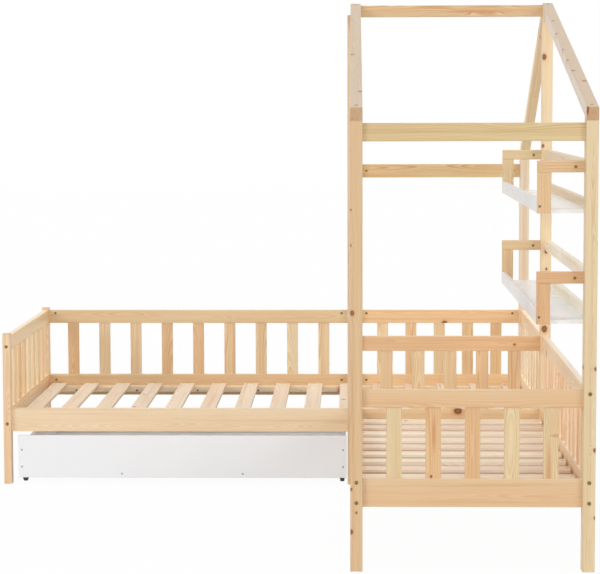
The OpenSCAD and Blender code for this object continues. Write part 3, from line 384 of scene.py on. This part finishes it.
def pine(
    node, axes, row=None, seed=0, pale=PALE, warm=WARM, tone=(1, 1, 1), warmth=0.4, spread=0.3,
    rings=1.0, knots=0.2, knots_at=(), streaks_at=(), swirls_at=(), tilt=0.0, sawn=0.0,
    painted_edge_shading=None, painted_shade_depth=None, turned_below=None,
):
    """Pine for a CAD node. axes names the axes of its boards' width, thickness and grain.
    row is the axis that like boards repeat on, how many there are, and the widths of the
    first and the last one. pale and warm are the sapwood and the heartwood, tone is the
    piece's own shade, warmth is the share of heartwood, and spread is how much that
    differs from board to board. rings is the strength of the rings, and knots the chance
    of a random knot. knots_at, streaks_at and swirls_at hold what was measured: knots with
    their place and radius, and resin streaks and swirls of the rings with their place, half
    width and half length. tilt turns the grain about X, and sawn is how rough the saw left
    it. painted_edge_shading multiplies the colour of the boards' narrow sides: a painted
    highlight where it is above 1, painted shade where it is below 1. With
    painted_shade_depth, the painted shade lies mainly on what is deeper than that under the
    top face. Below the height turned_below, the boards are uprights, with their grain along Z."""
    corner, pitch = board_cells(node, row)
    order = width, thickness, length = [AXES.index(axis) for axis in axes]
    material = bpy.data.materials.new("pine_" + node)
    material.use_nodes = True
    nodes = Nodes(material.node_tree)
    coordinates = nodes.add("ShaderNodeTexCoord").outputs
    place = coordinates["Object"]
    off_whole = 0.37
    cell = nodes.add(
        "ShaderNodeGroup",
        {"Vector": place, "Corner": corner, "Pitch": pitch, "Seed": seed + off_whole},
        node_tree=board_cell,
    )
    local = cell.outputs["Local"]
    if tilt:
        turn = {"Vector": local, "Rotation": (tilt, 0, 0)}
        local = nodes.add("ShaderNodeMapping", turn).outputs[0]
    parts, faces = nodes.split(local), nodes.split(coordinates["Normal"])
    grain_at = nodes.join(*[parts[axis] for axis in order])
    along = nodes.math("ABSOLUTE", faces[length])
    if turned_below:
        below = nodes.math("LESS_THAN", nodes.split(place)[2], turned_below)
        upright_at = nodes.join(parts[length], parts[thickness], parts[width])
        grain_at = nodes.mix(below, grain_at, upright_at)
        along = nodes.math("MULTIPLY", along, nodes.math("SUBTRACT", 1.0, below))
    # Painted light and shade: the boards' narrow sides, which face along their width, take a colour
    # multiplier in place of the light and shade that fall on them.
    edge = 0.0
    if painted_edge_shading:
        edge = nodes.step(nodes.math("ABSOLUTE", faces[width]), 0.6, 0.9)
    # Painted shade: deeper than a given depth under the top face, the narrow sides take the
    # multiplier at a random strength for each board, standing in for the shade in the gaps between
    # bed slats; above that depth they take a fifth of it.
    if painted_shade_depth:
        painted_shade_range, share_above, blur = (0.5, 1.1), 0.2, 0.0015
        low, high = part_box(node)
        depth = nodes.math("SUBTRACT", (high - low)[thickness] / 2, parts[thickness])
        painted_shade_share = nodes.between(nodes.split(cell.outputs["Random"])[2], *painted_shade_range)
        painted_shade_share = nodes.math("MULTIPLY", nodes.step(depth, painted_shade_depth, painted_shade_depth + blur), painted_shade_share)
        edge = nodes.math("MULTIPLY", edge, nodes.math("ADD", painted_shade_share, share_above))
    pale, warm = [srgb(*[value * part for value, part in zip(colour, tone)])
                  for colour in (pale, warm)]
    grain = nodes.add(
        "ShaderNodeGroup",
        {
            "Vector": grain_at, "Random": cell.outputs["Random"],
            "End": nodes.step(along, 0.85, 0.95), "Pale": pale, "Warm": warm, "Knot": KNOT,
            "Warmth": warmth, "Spread": spread, "Rings": rings, "Knots": knots,
            "Knot Distance": knot_distance(nodes, place, knots_at, order),
            "Streak": nearness(nodes, place, streaks_at, order),
            "Swirl": nearness(nodes, place, swirls_at, order),
            "Sawn": sawn, "Edge": edge, "Painted Edge Shading": (*(painted_edge_shading or (1, 1, 1)), 1),
        },
        node_tree=pine_grain,
    ).outputs
    relief = {"Height": grain["Height"], "Strength": 0.3, "Distance": 0.0002}
    bump = nodes.add("ShaderNodeBump", relief)
    shader = material.node_tree.nodes["Principled BSDF"]
    nodes.put(shader.inputs["Base Color"], grain["Color"])
    nodes.put(shader.inputs["Roughness"], grain["Roughness"])
    nodes.put(shader.inputs["Normal"], bump.outputs[0])
    nodes.put(shader.inputs["Specular IOR Level"], 0.4)
    dress(node, material)


def dress(node, material):
    """Gives a CAD node one material all over."""
    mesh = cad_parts[node].data
    mesh.materials.clear()
    mesh.materials.append(material)


# One row for each post: how warm it is, its shade, and the knots that were measured on it
for seed, (post, warmth, tone, knots_at) in enumerate([
    ("post_front_left", 0.7, (0.93, 0.97, 1.0), [
        ((0.287, -1.263, 1.122), 0.002), ((0.287, -1.263, 1.013), 0.002),
        ((0.291, -1.263, 0.805), 0.005), ((0.288, -1.263, 0.258), 0.003),
        ((0.304, -1.263, 0.185), 0.0025), ((0.288, -1.263, 0.125), 0.0045),
    ]),
    ("post_front_right", 0.0, (0.96, 0.98, 0.99), [
        ((1.037, -1.263, 0.633), 0.0035), ((1.037, -1.263, 0.381), 0.004),
        ((1.039, -1.263, 0.17), 0.003),
    ]),
    ("post_corner_left", 0.4, (0.965, 1.02, 1.1), ()),
    ("post_corner_right", 0.2, (1.02, 1.04, 1.07), [
        ((1.007, 0.212, 1.617), 0.0065), ((1.005, 0.212, 1.286), 0.004),
        ((1.021, 0.212, 0.89), 0.005), ((1.022, 0.212, 0.823), 0.003),
        ((1.016, 0.212, 0.596), 0.008),
    ]),
    ("post_back_left", 0.3, (0.98, 1.05, 1.15), ()),
    ("post_back_right", 0.4, (1.0, 1.06, 1.18), ()),
    ("leg_front", 0.4, (1.02, 1.01, 1.04), ()),
    ("leg_back", 0.4, (1.02, 1.03, 1.06), ()),
]):
    pine(post, "xyz", seed=seed, warmth=warmth, tone=tone, rings=0.7, knots=0.05,
         knots_at=knots_at)

# Roof. Four rafters of the same pine lie on the post tops and meet in a mitre. A ridge
# beam and two eave rails tie them together. The front rafters' narrow sides are painted
# paler, a painted highlight for the light that falls on them.
GREYED_PALE = (204, 189, 167)
GREYED_WARM = (197, 174, 148)
BACK_PALE = (245, 228, 188)
BACK_WARM = (240, 205, 158)
# Painted highlight on the narrow sides of the front rafters.
PAINTED_SIDE_LIGHT = (1.3, 1.45, 1.7)
RAFTER_PLUMB_CUT = 0.042
for seed, (rafter, pale, warm, knots, knots_at) in enumerate([
    ("rafter_front_left", GREYED_PALE, GREYED_WARM, 0.0, [
        ((0.292, -0.571, 1.612), 0.0045), ((0.317, -1.069, 1.484), 0.0045),
    ]),
    ("rafter_front_right", (199, 179, 155), (194, 167, 139), 0.0, [
        ((1.013, -0.063, 1.744), 0.004), ((1.005, -0.268, 1.691), 0.004),
        ((1.003, -0.51, 1.628), 0.004), ((1.004, -0.658, 1.59), 0.004),
        ((1.008, -0.806, 1.552), 0.0045), ((1.029, -0.944, 1.516), 0.005),
        ((1.004, -1.263, 1.432), 0.004),
    ]),
    ("rafter_back_left", BACK_PALE, BACK_WARM, 0.3, ()),
    ("rafter_back_right", BACK_PALE, BACK_WARM, 0.3, ()),
], start=20):
    low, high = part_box(rafter)
    slope = math.atan2(high.z - low.z - RAFTER_PLUMB_CUT, high.y - low.y)
    in_front = "front" in rafter
    pine(
        rafter, "xzy", seed=seed, pale=pale, warm=warm, rings=0.3, knots=knots,
        knots_at=knots_at, tilt=-slope if in_front else slope,
        painted_edge_shading=PAINTED_SIDE_LIGHT if in_front else None,
    )
pine(
    "ridge_beam", "zyx", seed=31, warmth=0.8, tone=(0.98, 1.03, 1.07), rings=1.6, knots=0.0,
    streaks_at=[((0.76, 0.221, 1.787), 0.008, 0.15)],
    swirls_at=[((0.785, 0.221, 1.788), 0.018, 0.1)],
)
pine("eave_rail_front", "zyx", seed=33, pale=(224, 208, 163), warm=(212, 186, 140), knots=0.0)
pine("eave_rail_back", "zyx", seed=35, tone=(0.98, 1.0, 0.97), rings=1.3, knots=0.0)

# Fences. Each has a lower rail, a top rail and slats set in mortises between them. The
# slats are cut from many boards, so each has its own tone and its own figure.
LOWER_RAIL_H, TOP_RAIL_H = 0.089, 0.056
RAIL_ROW = ("z", 2, LOWER_RAIL_H, TOP_RAIL_H)
# Painted highlight: the rails' top and bottom faces are made paler, as if light caught them.
RAIL_PAINTED_HIGHLIGHT = (1.12, 1.22, 1.4)
SLAT_W = 0.047
for fence, along, count, rails, slats in [
    (
        "foot", "x", 5,
        {"seed": 40, "warmth": 0.5, "tone": (0.95, 0.945, 0.945)},
        {
            "seed": 2245, "spread": 0.8, "tone": (0.96, 0.97, 0.96),
            "knots_at": [((0.535, -1.248, 0.296), 0.003)],
            "swirls_at": [
                ((0.914, -1.248, 0.468), 0.034, 0.046), ((0.548, -1.248, 0.373), 0.013, 0.02),
            ],
            "streaks_at": [
                ((0.898, -1.248, 0.3), 0.011, 0.13), ((0.92, -1.248, 0.424), 0.026, 0.007),
                ((0.543, -1.248, 0.43), 0.009, 0.07),
            ],
        },
    ),
    (
        "middle", "x", 5,
        {"seed": 41, "warmth": 0.6, "tone": (1.01, 1.02, 1.03),
         "knots_at": [((0.905, 0.224, 0.536), 0.003), ((0.692, 0.224, 0.282), 0.010)]},
        {"seed": 7112, "spread": 0.6, "tone": (1.015, 1.02, 1.035)},
    ),
    (
        "back_left", "x", 9,
        {"seed": 42, "warmth": 0.45, "tone": (0.99, 1.01, 1.02)},
        {"seed": 47111, "spread": 0.6, "tone": (1.005, 1.045, 1.09)},
    ),
    (
        "back_right", "x", 5,
        {"seed": 43, "warmth": 0.6, "tone": (1.05, 1.08, 1.1),
         "knots_at": [((0.685, 1.229, 0.512), 0.007)]},
        {"seed": 4298, "spread": 0.6, "tone": (1.03, 1.065, 1.09)},
    ),
    (
        "left", "y", 7,
        {"seed": 44, "warmth": 0.4, "tone": (1.06, 1.1, 1.14)},
        {"seed": 64, "spread": 0.5, "tone": (1.06, 1.1, 1.14)},
    ),
    (
        "right", "y", 11,
        {"seed": 45, "warmth": 0.5, "tone": (1.07, 1.12, 1.22)},
        {"seed": 65, "spread": 0.3, "tone": (1.08, 1.1, 1.17)},
    ),
    (
        "right_back", "y", 7,
        {"seed": 46, "warmth": 0.5, "tone": (1.1, 1.18, 1.28)},
        {"seed": 66, "spread": 0.5, "tone": (1.1, 1.18, 1.28)},
    ),
]:
    through = "y" if along == "x" else "x"
    pine(fence + "_fence_rails", "z" + through + along, row=RAIL_ROW, rings=0.5,
         painted_edge_shading=RAIL_PAINTED_HIGHLIGHT, **rails)
    pine(fence + "_fence_slats", along + through + "z", row=(along, count, SLAT_W, SLAT_W),
         warmth=0.5, knots=0.1, **slats)

# Bed rails and bases. A wide rail closes each bed's open side, and ledgers inside the
# rails carry the bed slats, which are paler sawn boards with dark ends and knots. The
# slats' edges carry painted shade, mostly on their lower part, standing in for the shade in
# the gaps between the slats.
LEDGER_W = 0.04
# Painted light: the ledgers' colours are lifted well above the other pine to make up for the shade
# they lie in.
LEDGER_PALE, LEDGER_WARM = (255, 238, 212), (250, 212, 174)
LONG_BED_SLAT_W, SHORT_BED_SLAT_W = 0.062, 0.07
pine("long_bed_rail", "zyx", seed=80, pale=(236, 214, 182), warm=(227, 193, 152), warmth=0.3,
     rings=0.5, knots=0.1)
pine("short_bed_rail", "zxy", seed=81)
pine("long_bed_ledgers", "yzx", row=("y", 2, LEDGER_W, LEDGER_W), seed=82,
     pale=LEDGER_PALE, warm=LEDGER_WARM)
pine("short_bed_ledgers", "xzy", row=("x", 2, LEDGER_W, LEDGER_W), seed=83,
     pale=LEDGER_PALE, warm=LEDGER_WARM)
# Painted shade on the slats' narrow sides, darkest on their lower part.
pine(
    "long_bed_slats", "xzy", row=("x", 15, LONG_BED_SLAT_W, LONG_BED_SLAT_W), seed=3237,
    pale=(248, 231, 208), warm=(238, 208, 178), warmth=0.3, spread=0.5, rings=0.6, knots=0.15,
    sawn=0.5, painted_edge_shading=(0.7, 0.65, 0.55), painted_shade_depth=0.006,
)
pine(
    "short_bed_slats", "yzx", row=("y", 10, SHORT_BED_SLAT_W, SHORT_BED_SLAT_W), seed=85,
    pale=(252, 240, 220), warm=(248, 226, 208), warmth=0.5, spread=1.0, rings=0.5, knots=0.3,
    sawn=0.1, painted_edge_shading=(0.6, 0.55, 0.45), painted_shade_depth=0.0085,
)


# Shelves. Each is a white coated board with a white lip glued along its front edge. Pine
# brackets of an arm dowelled on an upright stand at its ends, and two pine rails behind it
# are dowelled between the posts.
def coated_board(name, colour, roughness):
    """White coated board: nearly flat, with a faint unevenness under a semi-gloss coat."""
    cloud_size, peel_size = 3.0, 900.0
    darker = 0.98
    material = bpy.data.materials.new(name)
    material.use_nodes = True
    nodes = Nodes(material.node_tree)
    shader = material.node_tree.nodes["Principled BSDF"]
    place = nodes.add("ShaderNodeTexCoord").outputs["Object"]
    cloud = nodes.noise(place, cloud_size, detail=3.0)
    peel = nodes.noise(place, peel_size)
    shade = [value * darker for value in colour[:3]] + [1]
    bump = nodes.add("ShaderNodeBump", {"Height": peel, "Strength": 0.08, "Distance": 0.0003})
    nodes.put(shader.inputs["Base Color"], nodes.mix(nodes.step(cloud, 0.3, 0.7), colour, shade))
    nodes.put(shader.inputs["Roughness"], nodes.math("MULTIPLY_ADD", cloud, 0.1, roughness))
    nodes.put(shader.inputs["Normal"], bump.outputs[0])
    return material


# Painted light: the boards' white is paler than the lip's, making up for the shade that the posts
# and arms cast on them.
shelf_white = coated_board("shelf_white", srgb(247, 247, 246), roughness=0.22)
lip_white = coated_board("lip_white", srgb(231, 229, 228), roughness=0.3)
ARM_W, ARM_H = 0.022, 0.036
SHELF_RAIL_H = 0.038
for level, brackets, rails in [
    (
        "upper",
        {"seed": 672, "warmth": 0.3, "tone": (0.97, 0.975, 0.97)},
        {"seed": 94, "tone": (1.0, 1.05, 1.13)},
    ),
    (
        "lower",
        {"seed": 2246, "warmth": 0.5, "tone": (0.96, 0.94, 0.93)},
        {"seed": 95, "tone": (1.08, 1.19, 1.36)},
    ),
]:
    under_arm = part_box(level + "_shelf_brackets")[1].z - ARM_H
    pine(level + "_shelf_brackets", "zyx", row=("y", 2, ARM_W, ARM_W), spread=0.8, rings=1.3,
         knots=0.0, turned_below=under_arm, **brackets)
    pine(level + "_shelf_rails", "zxy", row=("z", 2, SHELF_RAIL_H, SHELF_RAIL_H), warmth=0.4,
         rings=0.5, **rails)
    dress(level + "_shelf_board", shelf_white)
    dress(level + "_shelf_lip", lip_white)
pine("shelf_dowels", "xzy", seed=98, knots=0.0)

# Drawer. White coated boards round a thin bottom panel on two pine bearers, screwed
# together through the front and the back.
BEARER_W = 0.02
drawer_white = coated_board("drawer_white", srgb(236, 236, 237), roughness=0.38)
for board in ["drawer_front", "drawer_sides", "drawer_back", "drawer_bottom"]:
    dress(board, drawer_white)
pine("drawer_bearers", "xzy", row=("x", 2, BEARER_W, BEARER_W), seed=99)


# Wheels. Dark moulded wheels turn on riveted axles in zinc-plated forks, which are screwed
# under the drawer. All four point to the front.
def plain_metal(name, colour, roughness, scratch):
    """Metal hardware with fine scratches and a slightly uneven sheen."""
    grime_size = 160.0
    darker = 0.7
    material = bpy.data.materials.new(name)
    material.use_nodes = True
    nodes = Nodes(material.node_tree)
    shader = material.node_tree.nodes["Principled BSDF"]
    place = nodes.add("ShaderNodeTexCoord").outputs["Object"]
    grime = nodes.noise(place, grime_size, detail=3.0)
    shade = [value * darker for value in colour[:3]] + [1]
    nodes.put(shader.inputs["Base Color"], nodes.mix(nodes.step(grime, 0.35, 0.7), colour, shade))
    nodes.put(shader.inputs["Roughness"], nodes.math("MULTIPLY_ADD", grime, scratch, roughness))
    nodes.put(shader.inputs["Metallic"], 1.0)
    return material


def moulded_plastic(name, colour, roughness):
    """Matt moulded plastic with a fine spark-eroded texture and scuffs."""
    texture_size, scuff_size = 1500.0, 60.0
    paler = 1.8
    material = bpy.data.materials.new(name)
    material.use_nodes = True
    nodes = Nodes(material.node_tree)
    shader = material.node_tree.nodes["Principled BSDF"]
    place = nodes.add("ShaderNodeTexCoord").outputs["Object"]
    texture = nodes.noise(place, texture_size)
    scuff = nodes.noise(place, scuff_size, detail=4.0)
    worn = [min(1.0, value * paler) for value in colour[:3]] + [1]
    worn_share = nodes.step(scuff, 0.55, 0.8, 0.0, 0.6)
    bump = nodes.add("ShaderNodeBump", {"Height": texture, "Strength": 0.2, "Distance": 0.0002})
    nodes.put(shader.inputs["Base Color"], nodes.mix(worn_share, colour, worn))
    nodes.put(shader.inputs["Roughness"], nodes.math("MULTIPLY_ADD", scuff, 0.2, roughness))
    nodes.put(shader.inputs["Normal"], bump.outputs[0])
    return material


zinc = plain_metal("zinc_plate", srgb(176, 178, 180), roughness=0.32, scratch=0.25)
wheel_plastic = moulded_plastic("wheel_plastic", srgb(74, 76, 75), roughness=0.5)
for part in ["wheel_brackets", "wheel_axles", "drawer_screws"]:
    dress(part, zinc)
for wheel in ["wheel_front_left", "wheel_front_right", "wheel_back_left", "wheel_back_right"]:
    dress(wheel, wheel_plastic)

# Hardware. Bolts with hexagon sockets and barrel nuts of dark antique brass hold every
# rail end, sunk a little into the posts. Dark steel screws hold the ledgers, the bed slats
# and the shelves.
antique_brass = plain_metal("antique_brass", srgb(152, 126, 76), roughness=0.3, scratch=0.3)
dark_steel = plain_metal("dark_steel", srgb(112, 108, 102), roughness=0.35, scratch=0.3)
for part in ["connecting_bolts", "barrel_nuts", "roof_screws"]:
    dress(part, antique_brass)
dress("wood_screws", dark_steel)

# Studio. A white floor and a white room, two soft lamps at the sides, a weak one in front
# and one overhead. The camera sees the floor nearly white, with the bed's shadow left faint.
FLOOR_SIZE = 60.0
BELOW_WHEELS = 0.0005
FLOOR_GLOW = 0.96
WORLD_LIGHT = 0.46


def seen_directly(nodes):
    """1 for a ray from the camera, from a reflection or through glass, and 0 for the rest."""
    rays = nodes.add("ShaderNodeLightPath").outputs
    indirect = nodes.math("MAXIMUM", rays["Is Glossy Ray"], rays["Is Transmission Ray"])
    return nodes.math("MAXIMUM", rays["Is Camera Ray"], indirect)


def wide_lamp(name, direction, spread, strength):
    """Far lamp behind a large screen: its light comes along one direction, well spread."""
    data = bpy.data.lights.new(name, "SUN")
    data.angle = math.radians(spread)
    data.energy = strength
    lamp = bpy.data.objects.new(name, data)
    lamp.rotation_euler = Vector(direction).to_track_quat("-Z", "Y").to_euler()
    bpy.context.scene.collection.objects.link(lamp)


bpy.ops.mesh.primitive_plane_add(size=FLOOR_SIZE, location=(0, 0, -BELOW_WHEELS))
floor = bpy.context.object
floor.name = "studio_floor"
floor_white = bpy.data.materials.new("floor_white")
floor_white.use_nodes = True
nodes = Nodes(floor_white.node_tree)
shader = floor_white.node_tree.nodes["Principled BSDF"]
nodes.put(shader.inputs["Base Color"], (0.8, 0.8, 0.8, 1))
nodes.put(shader.inputs["Roughness"], 0.9)
glow = nodes.add("ShaderNodeEmission", {"Color": (1, 1, 1, 1), "Strength": 1.0})
glow_share = nodes.math("MULTIPLY", seen_directly(nodes), FLOOR_GLOW)
both = nodes.add("ShaderNodeMixShader", {0: glow_share, 1: shader.outputs[0], 2: glow.outputs[0]})
output = floor_white.node_tree.nodes["Material Output"]
nodes.put(output.inputs["Surface"], both.outputs[0])
floor.data.materials.append(floor_white)

world = bpy.data.worlds.new("studio")
bpy.context.scene.world = world
world.use_nodes = True
nodes = Nodes(world.node_tree)
background = world.node_tree.nodes["Background"]
nodes.put(background.inputs["Color"], (1, 1, 1, 1))
room = nodes.between(seen_directly(nodes), WORLD_LIGHT, 1.0)
nodes.put(background.inputs["Strength"], room)

wide_lamp("lamp_left", direction=(1.2, 0.9, -0.6), spread=24, strength=1.09)
wide_lamp("lamp_right", direction=(-1.2, 0.9, -0.6), spread=30, strength=1.04)
wide_lamp("lamp_front", direction=(0.0, 1.0, -0.12), spread=30, strength=0.15)
wide_lamp("lamp_top", direction=(0.05, 0.1, -1.0), spread=60, strength=0.85)

bpy.context.scene.view_settings.view_transform = "Standard"
